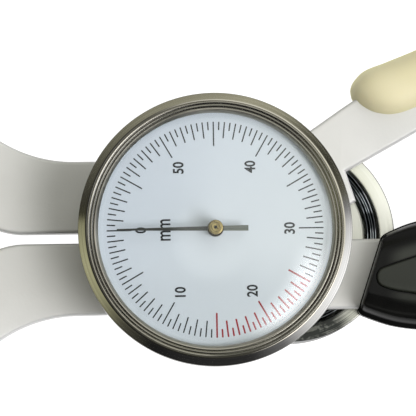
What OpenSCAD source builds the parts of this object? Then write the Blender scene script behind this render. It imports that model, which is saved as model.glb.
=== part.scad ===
// Skinfold caliper with a round dial. One turn of the pointer is 60 mm of jaw opening.
// Millimetres. The origin is on the pivot's axis, at the back face of the spring drum.
// The dial looks along +Z, the jaws point along -X and the grip along +X.

/* [Arms] */
// Distance from the pivot to the middle of the jaw faces
jaw_reach = 115.9; // [115.6:0.1:116.2]
// Thickness of both arms
arm_t = 4.8; // [4.6:0.1:5]
// Width of each arm between the jaws and the drum
arm_w = 16.25; // [15.95:0.05:16.55]
// Gap between the two arms when the jaws are closed
arm_gap = 2.3; // [2.1:0.1:2.5]
// Angle of the thumb lever above the arms' centreline
lever_angle = 31.2; // [30:0.2:32]
// How far the upper arm turns to open the jaws fully
opening_angle = 30; // [28:1:30]

/* [Jaw tips] */
// Length of each jaw face
tip_l = 9; // [7:0.5:10]
// Width of each jaw face, across the arms
tip_w = 6; // [5.8:0.1:7]
// Radius of the pins that the tips turn on
tip_pin_r = 1.2; // [1:0.1:1.3]

/* [Spring drum] */
// Outer radius of the drum
drum_r = 23.9; // [23.5:0.1:24.2]
// Height of the drum
drum_h = 12.6; // [12:0.1:13]
// Outer radius of the spring's groove
groove_r = 20.5; // [20.3:0.1:20.8]
// Radius of the hub disc inside the groove
hub_r = 16.9; // [16.5:0.1:17]
// Thickness of the power spring's strip
strip_t = 0.2; // [0.15:0.01:0.2]
// Distance from one turn of the power spring to the next
strip_pitch = 0.62; // [0.62:0.01:0.64]
// Turns of the power spring
strip_turns = 3.6; // [2.6:1:3.6]

/* [Gears] */
// Module of the gear teeth
gear_module = 0.3; // [0.3:0.002:0.304]
// Teeth that a full sector wheel would have
sector_teeth = 108; // [108:1:108]
// Teeth of the pinion
pinion_teeth = 9; // [9:1:9]

/* [Dial] */
// Outer diameter of the bezel
bezel_d = 60; // [59.6:0.2:60.6]
// Height of the printed face above the drum's back
dial_z = 33.3; // [33.3:0.1:34]
// Rise of the crystal's dome
dome_rise = 5; // [4.6:0.1:5.4]
// Length of the pointer from its centre to its tip
pointer_l = 21.5; // [20:0.1:22]

/* [Grip and lever] */
// Height of each grip shell above the parting plane
shell_h = 9.6; // [9:0.1:10.5]
// Depth of the grip's inset panels
inlay_depth = 1.2; // [1:0.1:1.3]
// Thickness of the thumb pad, across the lever
pad_t = 14; // [12:0.5:15]

/* [Hidden] */
$fn = 96;

// Clearances
fit = 0.03;          // running fit, on the radius
gap = 0.3;           // between surfaces that pass each other

// Heights of the stack, from the drum's back upwards
arm_z0 = drum_h + 0.2;
arm_z1 = arm_z0 + arm_t;
lap_low = arm_z0 + arm_t / 2 - 0.15;
lap_high = lap_low + gap;
floor_t = 2.2;
hub_z0 = floor_t + 0.2;
hub_z1 = drum_h - 0.1;
sector_z = arm_z1 + 1.3;
sector_t = 1.2;
case_z0 = arm_z1 + 5;
case_floor = 1.6;
dial_t = 0.4;
dial_back = dial_z - dial_t;
part_z = arm_z0 + arm_t / 2;

// Radii round the pivot
shaft_r = 3;
bush_r = 4.2;
lap_r = 12.5;
lap_hole_r = lap_r + gap;
stop_r = 16.7;
edge_y = arm_gap / 2;
outer_y = edge_y + arm_w;
stop_angle = opening_angle + 0.6;

// Gears and dial
centre_distance = gear_module * (sector_teeth + pinion_teeth) / 2;
dial_x = -centre_distance;
sector_root_r = gear_module * (sector_teeth / 2 - 1.1);
arbor_r = 0.6;
bezel_r = bezel_d / 2;
case_r = bezel_r - 1.65;

// Bearings and fasteners
shaft_head_r = 5.5;
shaft_head_h = 1.45;
washer_t = 0.4;
nut_r = 3.9;
screw_r = 1;          // drum and hub screws
screw_hole_r = 1.1;
drum_head_r = 1.5;
drum_head_h = 1.4;
hub_head_r = 1.8;
hub_head_h = 1.9;
small_screw_r = 0.8;  // sector and case screws
bridge_screw_r = 0.7;
grip_screw_r = 1.25;
grip_head_r = 2.4;
grip_head_h = 1.6;
post_r = 1.9;
post_bore_r = 0.9;

// Places of the fasteners
drum_screw_ring = (drum_r + groove_r) / 2;
drum_screw_angles = [-24, -43, -137, -156];
hub_screw_ring = 14.75;
hub_screw_angles = [50, 130];
post_places = [[-42, -6], [-30, -14.5], [4, -14.6]];
bridge_places = [[-18.8, -4.4], [-24, -4.4]];
sector_screw_angles = [60, 240];
sector_screw_ring = 6.3;
grip_screw_places = [[38, -9.2], [88, -14.2]];
pin_place = [-jaw_reach, 5.8];

// Colours
paint = [0.83, 0.83, 0.81];
turned = [0.90, 0.90, 0.84];
steel = [0.62, 0.62, 0.62];
bronze = [0.72, 0.52, 0.30];
brass = [0.80, 0.66, 0.32];
nickel = [0.72, 0.70, 0.64];
black = [0.06, 0.06, 0.06];

// ---- shapes in the plane ----

// An arc of n steps round c, from angle a0 to a1
function arc(c, r, a0, a1, n) =
    [for (i = [0:n]) let (a = a0 + (a1 - a0) * i / n) c + r * [cos(a), sin(a)]];

// A point turned by angle a round the origin
function turned_by(p, a) = [p.x * cos(a) - p.y * sin(a), p.x * sin(a) + p.y * cos(a)];

// A smooth curve through the points p, with n steps from each to the next
function smooth(p, n) = concat(
    [for (i = [0:len(p) - 2], j = [0:n - 1])
        let (a = p[max(i - 1, 0)], b = p[i], c = p[i + 1], d = p[min(i + 2, len(p) - 1)], t = j / n)
        (2 * b + (c - a) * t + (2 * a - 5 * b + 4 * c - d) * t * t
            + (3 * b - a - 3 * c + d) * t * t * t) / 2],
    [p[len(p) - 1]]);

function unit(v) = v / norm(v);
function left_of(v) = [-v.y, v.x];

// A closed outline, drawn anticlockwise, moved inwards by d
function inset(p, d) = [for (i = [0:len(p) - 1])
    let (last = len(p),
         n0 = left_of(unit(p[i] - p[(i + last - 1) % last])),
         n1 = left_of(unit(p[(i + 1) % last] - p[i])),
         m = unit(n0 + n1))
    p[i] + m * d / max(0.5, m * n0)];

// An open path moved to its left by d
function beside(p, d) = [for (i = [0:len(p) - 1])
    let (n0 = left_of(unit(p[max(i, 1)] - p[max(i, 1) - 1])),
         n1 = left_of(unit(p[min(i + 1, len(p) - 1)] - p[min(i, len(p) - 2)])),
         m = unit(n0 + n1))
    p[i] + m * d / max(0.5, m * n0)];

function mirrored(p) = [for (i = [len(p) - 1:-1:0]) [p[i].x, -p[i].y]];
function backwards(p) = [for (i = [len(p) - 1:-1:0]) p[i]];

// ---- solids from rings ----

// A solid through rings of equal length, with flat ends
module loft(rings) {
    n = len(rings[0]);
    last = len(rings) - 1;
    polyhedron(
        points = [for (ring = rings, q = ring) q],
        faces = concat(
            [[for (i = [0:n - 1]) i]],
            [[for (i = [n - 1:-1:0]) last * n + i]],
            [for (k = [0:last - 1], i = [0:n - 1])
                [k * n + i, (k + 1) * n + i, (k + 1) * n + (i + 1) % n]],
            [for (k = [0:last - 1], i = [0:n - 1])
                [k * n + i, (k + 1) * n + (i + 1) % n, k * n + (i + 1) % n]]),
        convexity = 8);
}

// A flat plate between two heights
module plate(outline, z0, z1) {
    translate([0, 0, z0]) linear_extrude(z1 - z0) polygon(outline);
}

module tube(r_out, r_in, z0, z1) {
    translate([0, 0, z0]) difference() {
        cylinder(r = r_out, h = z1 - z0);
        translate([0, 0, -1]) cylinder(r = r_in, h = z1 - z0 + 2);
    }
}

module rod(r, z0, z1) {
    translate([0, 0, z0]) cylinder(r = r, h = z1 - z0);
}

// A screw with its head up and a slot, from the tip at z0 to the head's top at z1
module slotted_screw(r, head_r, head_h, z0, z1) {
    slot_w = 0.4;
    difference() {
        union() {
            rod(r, z0, z1 - head_h + 0.01);
            rod(head_r, z1 - head_h, z1);
        }
        translate([-head_r, -slot_w / 2, z1 - head_h / 2]) cube([2 * head_r, slot_w, head_h]);
    }
}

module at_places(places) {
    for (p = places) translate([p.x, p.y, 0]) children();
}

module round_pivot(r, angles) {
    for (a = angles) translate([r * cos(a), r * sin(a), 0]) children();
}

// ---- the two arms ----

// The claw of the upper jaw: two arcs on the outside and two on the inside
bend_x = -48.5;
bend_r = 31;
bend_angle = 40;
claw_r = 32;
throat_x = -60;
throat_r = 18;
throat_angle = 50;
claw_in_r = 22.5;
bend_c = [bend_x, outer_y + bend_r];
claw_c = bend_c - (bend_r + claw_r) * [sin(bend_angle), cos(bend_angle)];
throat_c = [throat_x, edge_y + throat_r];
claw_in_c = throat_c - (throat_r + claw_in_r) * [sin(throat_angle), cos(throat_angle)];
claw_end_y = pin_place.y + 0.4;

// Outside of the claw, from the straight arm to its end
claw_outside = concat(
    arc(bend_c, bend_r, 270, 270 - bend_angle, 6),
    arc(claw_c, claw_r, 90 - bend_angle + 8, 180 - asin((claw_end_y + 1.8 - claw_c.y) / claw_r), 16),
    [[claw_c.x - claw_r + 2.6, claw_end_y]]);

// Inside of the claw, from its end to the straight arm
claw_inside = concat(
    [[claw_in_c.x - claw_in_r + 0.6, claw_end_y]],
    arc(claw_in_c, claw_in_r, 180 - asin((claw_end_y + 1.6 - claw_in_c.y) / claw_in_r),
        90 - throat_angle, 14),
    arc(throat_c, throat_r, 270 - throat_angle + 8, 270, 6));

// The stop face is the lower arm's top edge, turned up by the stop angle
function stop_point(t) = turned_by([t, -edge_y], stop_angle);
stop_in = stop_point(edge_y * (1 + cos(stop_angle)) / sin(stop_angle));
stop_corner = stop_point(sqrt(stop_r * stop_r - edge_y * edge_y));

// The lever, in its own frame: along it, then across it
lever_path = smooth([
    [18.3, 5.6], [24.6, 5.3], [36, 4.8], [50, 4.4], [64, 4.6], [73, 5.4],
    [77.6, 8], [78.8, 11.4], [77.4, 14.6], [72, 16.4],
    [58, 17], [44, 17.9], [30, 18.35], [18, 17.8]], 3);
shoulder = smooth([[2.6, 22.2], [-3, 19], [-9, outer_y + 0.3], [-15, outer_y]], 3);
upper_outline = concat(
    claw_inside,
    [stop_in, stop_corner, (stop_corner + 2 * turned_by(lever_path[0], lever_angle)) / 3],
    [for (p = lever_path) turned_by(p, lever_angle)],
    shoulder,
    claw_outside);

// The fixed arm: the same claw turned over, and a tang that fills the grip
tang_bottom = smooth([[13, -16.8], [24, -16.9], [40, -17.4], [70, -18.6], [98, -20.6]], 3);
tang_top = smooth([[98, -8.4], [70, -4.4], [40, -1.6], [24, -edge_y]], 3);
tang_outline = concat(tang_bottom, arc([98, -14.5], 6.1, -75, 75, 6), tang_top);
lower_outline = concat(mirrored(claw_outside), tang_outline, mirrored(claw_inside));

// Room for a jaw tip's cheeks at the end of a claw, and the tongue between them
module tip_seat(place) {
    relief_r = 4.2;
    for (z = [arm_z0 - 1, part_z + tongue_t / 2])
        translate([place.x, place.y, z]) cylinder(r = relief_r, h = part_z - arm_z0 - tongue_t / 2 + 1);
}
tongue_t = 2.5;
tongue_r = 3.2;

module tip_tongue(place) {
    translate([place.x, place.y, 0]) rod(tongue_r, part_z - tongue_t / 2, part_z + tongue_t / 2);
}

module lower_arm() {
    place = [pin_place.x, -pin_place.y];
    color(paint) difference() {
        union() {
            difference() {
                plate(lower_outline, arm_z0, arm_z1);
                tip_seat(place);
                rod(lap_hole_r, lap_low, arm_z1 + 1);
            }
            rod(lap_r, arm_z0, lap_low);
            tip_tongue(place);
        }
        rod(shaft_r, 0, arm_z1 + 1);
        translate([place.x, place.y, 0]) rod(tip_pin_r + fit, 0, arm_z1 + 1);
        round_pivot(drum_screw_ring, drum_screw_angles) rod(screw_r, arm_z0 - 1, arm_z1 - 1);
        at_places(post_places) rod(small_screw_r, arm_z1 - 3, arm_z1 + 1);
        at_places(bridge_places) rod(bridge_screw_r, arm_z1 - 2.5, arm_z1 + 1);
        at_places(grip_screw_places) rod(grip_screw_r + 0.15, 0, arm_z1 + 1);
    }
}

module upper_arm() {
    color(paint) difference() {
        union() {
            difference() {
                plate(upper_outline, arm_z0, arm_z1);
                tip_seat(pin_place);
                rod(lap_hole_r, 0, lap_high);
            }
            rod(lap_r, lap_high, arm_z1);
            tip_tongue(pin_place);
        }
        rod(bush_r, 0, arm_z1 + 1);
        translate([pin_place.x, pin_place.y, 0]) rod(tip_pin_r + fit, 0, arm_z1 + 1);
        round_pivot(hub_screw_ring, hub_screw_angles) rod(screw_r, arm_z0 - 1, arm_z1 - 1);
        round_pivot(sector_screw_ring, sector_screw_angles) rod(small_screw_r, arm_z1 - 1.6, arm_z1 + 1);
    }
}

// ---- jaw tips ----

face_gap = 0.3;
tip_face = -(pin_place.y - face_gap / 2);
tip_floor = -tongue_r - gap;

// A swivelling tip: a floor with the jaw face, and two cheeks that hold the pin
module jaw_tip() {
    cheek_r = 3.4;
    cheek = [[-tip_l / 2, tip_face + 0.4], [-tip_l / 2 + 0.4, tip_face], [tip_l / 2 - 0.4, tip_face],
             [tip_l / 2, tip_face + 0.4], [tip_l / 2, tip_floor], [cheek_r - 0.2, 0],
             [-cheek_r + 0.2, 0], [-tip_l / 2, tip_floor]];
    slot_t = tongue_t + 2 * 0.15;
    difference() {
        translate([0, 0, part_z - tip_w / 2]) linear_extrude(tip_w) union() {
            polygon(cheek);
            circle(r = cheek_r);
        }
        translate([-tip_l, tip_floor, part_z - slot_t / 2]) cube([2 * tip_l, 2 * tip_l, slot_t]);
        rod(tip_pin_r, 0, arm_z1 + 5);
    }
}

module tip_pin() {
    rod(tip_pin_r, part_z - tip_w / 2 - 0.2, part_z + tip_w / 2 + 0.2);
}

module upper_tip() {
    color(steel) translate([pin_place.x, pin_place.y, 0]) jaw_tip();
}

module lower_tip() {
    color(steel) mirror([0, 1, 0]) translate([pin_place.x, pin_place.y, 0]) jaw_tip();
}

module upper_tip_pin() {
    color(brass) translate([pin_place.x, pin_place.y, 0]) tip_pin();
}

module lower_tip_pin() {
    color(brass) translate([pin_place.x, -pin_place.y, 0]) tip_pin();
}

// ---- spring drum ----

// Path of a flat spiral: a short tab inwards, the turns, and a short tab outwards
function spiral_path(r0, pitch, turns, steps, tab_in, tab_out) = concat(
    [[r0 - tab_in, 0]],
    [for (i = [0:floor(turns * steps)])
        let (a = 360 * i / steps) (r0 + pitch * i / steps) * [cos(a), sin(a)]],
    [let (a = 360 * floor(turns * steps) / steps)
        (r0 + pitch * floor(turns * steps) / steps + tab_out) * [cos(a), sin(a)]]);

function strip_outline(path, t) = concat(beside(path, -t / 2), backwards(beside(path, t / 2)));

// Least gap between a turn and the next, measured on the path's points
function least_gap(path, steps, t) =
    min([for (i = [1:len(path) - 2], j = [i + steps / 2:min(i + 2 * steps, len(path) - 2)])
        norm(path[i] - path[j])]) - t;

drum_head_z = 0.2;
strip_steps = 36;
strip_r0 = hub_r + 0.75;
strip_tab = 1.4;
strip_start = 215;
strip_path = spiral_path(strip_r0, strip_pitch, strip_turns, strip_steps, strip_tab + 0.2, strip_tab);
strip_end_r = norm(strip_path[len(strip_path) - 2]);
strip_end_angle = strip_start + 360 * floor(strip_turns * strip_steps) / strip_steps;
echo(least_gap_of_power_spring = least_gap(strip_path, strip_steps, strip_t));

module power_spring() {
    color(steel) rotate(strip_start) translate([0, 0, floor_t + 1])
        linear_extrude(drum_h - floor_t - 1.8) polygon(strip_outline(strip_path, strip_t));
}

// Slot for a spring's tab, from radius r0 to r1 at an angle
module tab_slot(angle, r0, r1, width) {
    rotate(angle) translate([r0, -width / 2, floor_t]) cube([r1 - r0, width, drum_h]);
}

module spring_drum() {
    edge = 0.4;
    color(turned) difference() {
        union() {
            rotate_extrude() polygon([
                [0, 0], [drum_r - edge, 0], [drum_r, edge], [drum_r, drum_h - edge],
                [drum_r - edge, drum_h], [groove_r + edge / 2, drum_h], [groove_r, drum_h - edge / 2],
                [groove_r, floor_t], [0, floor_t]]);
            round_pivot(drum_screw_ring, drum_screw_angles) rod(drum_head_r + 0.1, drum_h - 1, arm_z0);
        }
        rod(shaft_r, -1, drum_h);
        rod(shaft_head_r + 0.1, -1, shaft_head_h);
        round_pivot(drum_screw_ring, drum_screw_angles) {
            rod(screw_hole_r, -1, drum_h + 1);
            rod(drum_head_r + 0.05, -1, drum_head_z + drum_head_h);
        }
        tab_slot(strip_end_angle, groove_r - 1, strip_end_r + strip_tab + 0.2, 0.8);
    }
}

hub_head_z = hub_z0 + 0.3;

module spring_hub() {
    edge = 0.3;
    color(turned) difference() {
        union() {
            rotate_extrude() polygon([
                [0, hub_z0], [hub_r, hub_z0], [hub_r, hub_z1 - edge], [hub_r - edge, hub_z1], [0, hub_z1]]);
            round_pivot(hub_screw_ring, hub_screw_angles) rod(hub_head_r, hub_z1 - 1, arm_z0);
        }
        rod(bush_r, 0, drum_h + 1);
        round_pivot(hub_screw_ring, hub_screw_angles) {
            rod(screw_hole_r, 0, drum_h + 1);
            rod(hub_head_r + 0.1, 0, hub_head_z + hub_head_h);
        }
        tab_slot(strip_start, strip_r0 - strip_tab - 0.4, hub_r + 1, 0.8);
    }
}

shaft_top = case_z0 - gap;

// The shaft's head is flush with the drum's back, and has two holes for a pin spanner
module pivot_shaft() {
    spanner_r = 0.6;
    spanner_place = 4;
    color(steel) difference() {
        union() {
            rod(shaft_r, 0, shaft_top);
            rod(shaft_head_r, 0, shaft_head_h);
        }
        for (x = [-spanner_place, spanner_place]) translate([x, 0, 0]) rod(spanner_r, -1, 0.9);
    }
}

module hub_bush() {
    color(bronze) tube(bush_r, shaft_r + fit, hub_z0, hub_z1);
}

module arm_bush() {
    color(bronze) tube(bush_r, shaft_r + fit, lap_high, arm_z1);
}

module thrust_washer() {
    washer_r = 9;
    color(bronze) tube(washer_r, shaft_r + 0.05, lap_low, lap_high - 0.05);
}

washer_z = sector_z + sector_t + 0.05;

module pivot_washer() {
    color(steel) tube(bush_r, shaft_r + 0.05, washer_z, washer_z + washer_t);
}

module pivot_nut() {
    nut_z = washer_z + washer_t;
    color(steel) difference() {
        translate([0, 0, nut_z]) cylinder(r = nut_r, h = shaft_top - nut_z, $fn = 6);
        rod(shaft_r, nut_z - 1, case_z0);
    }
}

module drum_screws() {
    slot_w = 0.5;
    color(steel) round_pivot(drum_screw_ring, drum_screw_angles) difference() {
        union() {
            rod(screw_r, drum_head_z, arm_z1 - 1.3);
            rod(drum_head_r, drum_head_z, drum_head_z + drum_head_h);
        }
        translate([-2, -slot_w / 2, 0]) cube([4, slot_w, drum_head_z + drum_head_h / 2]);
    }
}

module hub_screws() {
    color(steel) round_pivot(hub_screw_ring, hub_screw_angles) {
        rod(screw_r, hub_head_z, arm_z1 - 1.3);
        rod(hub_head_r, hub_head_z, hub_head_z + hub_head_h);
    }
}

// ---- gears ----

// Involute angle at radius r, in degrees
function involute(base_r, r) =
    let (t = sqrt(max(0, (r / base_r) ^ 2 - 1))) t * 180 / PI - atan(t);

// One tooth of a wheel with z teeth, centred on angle 0, from its root to its tip and back
function tooth(z) =
    let (pitch_r = gear_module * z / 2,
         base_r = pitch_r * cos(20),
         tip_r = pitch_r + 0.8 * gear_module,
         root_r = pitch_r - 1.1 * gear_module,
         half = 90 / z - 0.03 / pitch_r * 180 / PI + involute(base_r, pitch_r),
         start_r = max(root_r, base_r),
         flank = [for (i = [0:3]) let (r = start_r + (tip_r - start_r) * i / 3)
             [r, half - involute(base_r, r)]],
         side = concat([[root_r - 0.02, half]], flank))
    concat([for (s = side) s[0] * [cos(s[1]), -sin(s[1])]],
           [for (s = backwards(side)) s[0] * [cos(s[1]), sin(s[1])]]);

module sector_gear() {
    pitch_angle = 360 / sector_teeth;
    first = -2;
    last_tooth = opening_angle / pitch_angle + 2;
    from = 180 + (first - 0.5) * pitch_angle;
    to = 180 + (last_tooth + 0.5) * pitch_angle;
    boss_r = 8.2;
    color(brass) difference() {
        union() {
            rod(boss_r, arm_z1, sector_z + sector_t);
            translate([0, 0, sector_z]) linear_extrude(sector_t) {
                polygon(concat([[0, 0]], arc([0, 0], sector_root_r, from, to, 24)));
                for (k = [first:last_tooth]) rotate(180 + k * pitch_angle) polygon(tooth(sector_teeth));
            }
        }
        translate([0, 0, sector_z - 1]) linear_extrude(sector_t + 2)
            polygon(concat(arc([0, 0], 9.8, from + 8, to - 8, 8), arc([0, 0], 13.8, to - 6, from + 6, 10)));
        rod(shaft_r + 0.2, 0, case_z0);
        round_pivot(sector_screw_ring, sector_screw_angles) rod(small_screw_r + 0.1, 0, case_z0);
    }
}

module sector_screws() {
    head_r = 1.5;
    head_h = 0.8;
    color(steel) round_pivot(sector_screw_ring, sector_screw_angles)
        slotted_screw(small_screw_r, head_r, head_h, arm_z1 - 1.5, sector_z + sector_t + head_h);
}

pinion_z0 = sector_z - 0.1;
pinion_z1 = sector_z + sector_t + 0.3;
arbor_z0 = arm_z1 + 0.35;
arbor_z1 = dial_z + 4.2;
collet_z = case_z0 + 3.4;
collet_r = 1.5;
collet_h = 1.4;

module pinion_arbor() {
    color(steel) translate([dial_x, 0, 0]) difference() {
        union() {
            rod(arbor_r, arbor_z0, arbor_z1);
            rod(gear_module * (pinion_teeth / 2 - 1.1), pinion_z0, pinion_z1);
            translate([0, 0, pinion_z0]) linear_extrude(pinion_z1 - pinion_z0)
                for (k = [0:pinion_teeth - 1])
                    rotate((k + 0.5) * 360 / pinion_teeth) polygon(tooth(pinion_teeth));
            rod(collet_r, collet_z, collet_z + collet_h);
        }
        rotate(hair_start) translate([0.8, -0.2, collet_z - 1]) cube([2, 0.4, 3]);
    }
}

// The bridge stands on the lower arm and holds the arbor's lower end over the gap between the arms
bridge_bush_r = 1.3;
case_bush_r = 2;

module arbor_bridge() {
    tongue_z = arm_z1 + gap;
    top = arm_z1 + 1;
    tongue_half = 2;
    color(brass) difference() {
        union() {
            translate([-26, -6.4, arm_z1]) cube([10, 4, top - arm_z1]);
            translate([dial_x - tongue_half, -3, tongue_z]) cube([2 * tongue_half, 3, top - tongue_z]);
            translate([dial_x, 0, 0]) rod(tongue_half, tongue_z, top);
        }
        translate([dial_x, 0, 0]) rod(bridge_bush_r, arm_z1, top + 1);
        at_places(bridge_places) rod(bridge_screw_r + 0.1, 0, top + 1);
    }
}

module bridge_screws() {
    head_r = 1.3;
    head_h = 0.7;
    color(steel) at_places(bridge_places)
        slotted_screw(bridge_screw_r, head_r, head_h, arm_z1 - 2.4, arm_z1 + 1 + head_h);
}

module arbor_bushes() {
    color(bronze) translate([dial_x, 0, 0]) {
        tube(bridge_bush_r, arbor_r + fit, arm_z1 + gap, arm_z1 + 1.05);
        tube(case_bush_r, arbor_r + fit, case_z0, case_z0 + case_floor + 0.6);
    }
}

hair_steps = 24;
hair_t = 0.12;
hair_start = 40;
hair_pitch = 0.6;
hair_turns = 6;
hair_path = spiral_path(1.95, hair_pitch, hair_turns, hair_steps, 0.95, 0.5);
hair_end_r = norm(hair_path[len(hair_path) - 1]);
echo(least_gap_of_hairspring = least_gap(hair_path, hair_steps, hair_t));

module hairspring() {
    color(steel) translate([dial_x, 0, collet_z + 0.3]) rotate(hair_start)
        linear_extrude(0.8) polygon(strip_outline(hair_path, hair_t));
}

module hairspring_stud() {
    color(brass) translate([dial_x, 0, 0]) rotate(hair_start) difference() {
        translate([hair_end_r + 0.3, 0, 0]) rod(0.9, case_z0 + case_floor, collet_z + 1.6);
        translate([hair_end_r - 1, -0.2, collet_z]) cube([1.2, 0.4, 3]);
    }
}

// ---- dial ----

case_head_r = 1.7;
case_head_h = 1;

module dial_case() {
    wall = 1.9;
    color(nickel) difference() {
        translate([dial_x, 0, 0]) rotate_extrude() polygon([
            [0, case_z0], [case_r - 1, case_z0], [case_r, case_z0 + 1],
            [case_r, dial_back - 1.9], [case_r - 0.5, dial_back - 1.7],
            [case_r - 0.5, dial_back - 1.1], [case_r, dial_back - 0.9],
            [case_r, dial_back], [case_r - wall, dial_back],
            [case_r - wall, case_z0 + case_floor], [0, case_z0 + case_floor]]);
        translate([dial_x, 0, 0]) rod(case_bush_r, 0, dial_z);
        at_places(post_places) {
            rod(post_bore_r, 0, dial_z);
            rod(case_head_r + 0.1, case_z0 + case_floor - 0.9, dial_back - 3);
        }
    }
}

module case_posts() {
    color(brass) at_places(post_places) tube(post_r, post_bore_r, arm_z1, case_z0);
}

module case_screws() {
    top = case_z0 + case_floor + 0.2;
    color(steel) at_places(post_places)
        slotted_screw(small_screw_r, case_head_r, case_head_h, arm_z1 - 2.8, top);
}

module dial_face() {
    color("white") translate([dial_x, 0, 0]) tube(case_r - 0.1, 1.1, dial_back, dial_z);
}

gasket_z = dial_z + 0.6;
glass_t = 0.9;
glass_r = 25.5;
flange_z = gasket_z + 0.5;
glass_wall_z = gasket_z + 1.5;

module crystal_gasket() {
    color("white") translate([dial_x, 0, 0]) tube(case_r - 0.15, 26, dial_z, gasket_z);
}

module crystal() {
    dome_r = (glass_r ^ 2 + dome_rise ^ 2) / (2 * dome_rise);
    dome_c = glass_wall_z + dome_rise - dome_r;
    in_r = dome_r - glass_t;
    rim_angle = asin(glass_r / dome_r);
    in_angle = asin((glass_r - glass_t) / in_r);
    color([0.9, 0.95, 1, 0.3]) translate([dial_x, 0, 0]) rotate_extrude() polygon(concat(
        [[glass_r - glass_t, gasket_z], [case_r - 0.6, gasket_z], [case_r - 0.6, flange_z],
         [glass_r, flange_z]],
        [for (i = [0:10]) let (a = rim_angle * (1 - i / 10)) [dome_r * sin(a), dome_c + dome_r * cos(a)]],
        [for (i = [0:10]) let (a = in_angle * i / 10) [in_r * sin(a), dome_c + in_r * cos(a)]]));
}

// The bezel's face: a plain bevel, a narrow land, fine turned ridges, and a lip over the crystal
bevel_w = 1.6;
bevel_z = dial_z + 1.4;
land_w = 0.35;
land_z = dial_z + 2.7;
ridges = 3;
ridge_pitch = 0.7;
ridge_drop = 0.22;
ridge_h = 0.14;
function ridge(i) = [bezel_r - bevel_w - land_w - ridge_pitch * i, land_z + 0.05 - ridge_drop * i];

module bezel() {
    lip_z = flange_z + 0.05;
    lip_r = glass_r + 0.1;
    lip_t = 0.35;
    bore_r = case_r + 0.05;
    clip_groove_r = case_r + 0.45;
    skirt_z = dial_z - 3.4;
    color(nickel) translate([dial_x, 0, 0]) rotate_extrude() polygon(concat(
        [[lip_r, lip_z], [bore_r, lip_z], [bore_r, dial_z - 1.3], [clip_groove_r, dial_z - 1.5],
         [clip_groove_r, dial_z - 2.3], [bore_r, dial_z - 2.5], [bore_r, skirt_z],
         [bezel_r - 0.5, skirt_z], [bezel_r, skirt_z + 0.5], [bezel_r, bevel_z],
         [bezel_r - bevel_w, land_z], ridge(0)],
        [for (i = [0:ridges - 1], step = [0.5, 1])
            ridge(i + step) - [0, step < 1 ? ridge_h : 0]],
        [ridge(ridges) - [0.05, 0.4], [lip_r, lip_z + lip_t]]));
}

module bezel_clip() {
    z = dial_z - 2.1;
    color(steel) translate([dial_x, 0, 0]) difference() {
        tube(case_r + 0.4, case_r - 0.4, z, z + 0.5);
        rotate(70) translate([0, -1.5, 0]) cube([bezel_r, 3, dial_z]);
    }
}

pointer_z = dial_z + 1.9;
pointer_t = 0.3;
neck_r = 1;

module pointer() {
    tip_half = 0.18;
    hub_half = 0.5;
    tail_l = 7.2;
    color(black) translate([dial_x, 0, pointer_z]) difference() {
        linear_extrude(pointer_t) union() {
            polygon([
                [-pointer_l, tip_half], [-pointer_l, -tip_half], [0, -hub_half],
                [tail_l, -0.6], [tail_l, 0.6], [0, hub_half]]);
            circle(r = 1.5);
        }
        translate([0, 0, -1]) cylinder(r = neck_r, h = 3);
    }
}

module pointer_hub() {
    low = dial_z + 0.9;
    top = dial_z + 5;
    hub_top_r = 1.6;
    hub_low_r = 1.8;
    dimple_r = 0.3;
    color(brass) translate([dial_x, 0, 0]) difference() {
        rotate_extrude() polygon([
            [0, low], [1.2, low], [1.2, pointer_z - 0.4], [hub_low_r, pointer_z - 0.4],
            [hub_low_r, pointer_z], [neck_r, pointer_z], [neck_r, pointer_z + pointer_t],
            [hub_low_r, pointer_z + pointer_t], [hub_top_r, top - 0.3], [hub_top_r - 0.25, top], [0, top]]);
        rod(arbor_r, 0, arbor_z1);
        rod(dimple_r, top - 0.5, top + 1);
    }
}

// ---- thumb pad ----

// Sections of the pad along the lever: place, lower edge, upper edge, share of the thickness
pad_sections = smooth([
    [28.7, 17.6, 19.2, 0.12], [29.6, 15.4, 21, 0.5], [31.4, 12.9, 22.2, 0.8], [34.6, 10.6, 22.8, 0.97],
    [40, 9.3, 21.8, 1], [50, 8.9, 20.3, 1], [62, 8.9, 20.2, 1], [72, 9.4, 21.2, 0.96],
    [78, 10.8, 21, 0.84], [81, 13, 19.4, 0.55], [82, 15.4, 17.2, 0.14]], 2);

function superellipse(a, n) = [
    sign(cos(a)) * abs(cos(a)) ^ (2 / n),
    sign(sin(a)) * abs(sin(a)) ^ (2 / n)];

// A ring of the pad, across the lever at one place along it
function pad_ring(s) = [for (i = [0:17])
    let (q = superellipse(20 * i + 10, 2.5),
         p = turned_by([s[0], (s[1] + s[2]) / 2 + q[0] * (s[2] - s[1]) / 2], lever_angle))
    [p.x, p.y, part_z + q[1] * s[3] * pad_t / 2]];

module thumb_pad() {
    color([0.89, 0.86, 0.72]) difference() {
        loft([for (s = pad_sections) pad_ring(s)]);
        translate([0, 0, arm_z0 - 0.05]) linear_extrude(arm_t + 0.1)
            polygon([for (p = inset(lever_path, -0.05)) turned_by(p, lever_angle)]);
    }
}

// ---- grip ----

// Stations along the grip: top x, top y, bottom x, bottom y
grip_rows = smooth([
    [20.4, -0.4, 14.5, -17.9], [27.4, 2.4, 23.2, -21], [38, 4.3, 35.2, -22.3], [54, 3.2, 52, -23.2],
    [72, 0.2, 70, -24.6], [88, -2.8, 86, -26], [104, -5.4, 102, -26.6]], 3);
grip_cap_l = 12;
cap_steps = 5;
drum_gap = 0.4;

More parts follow.
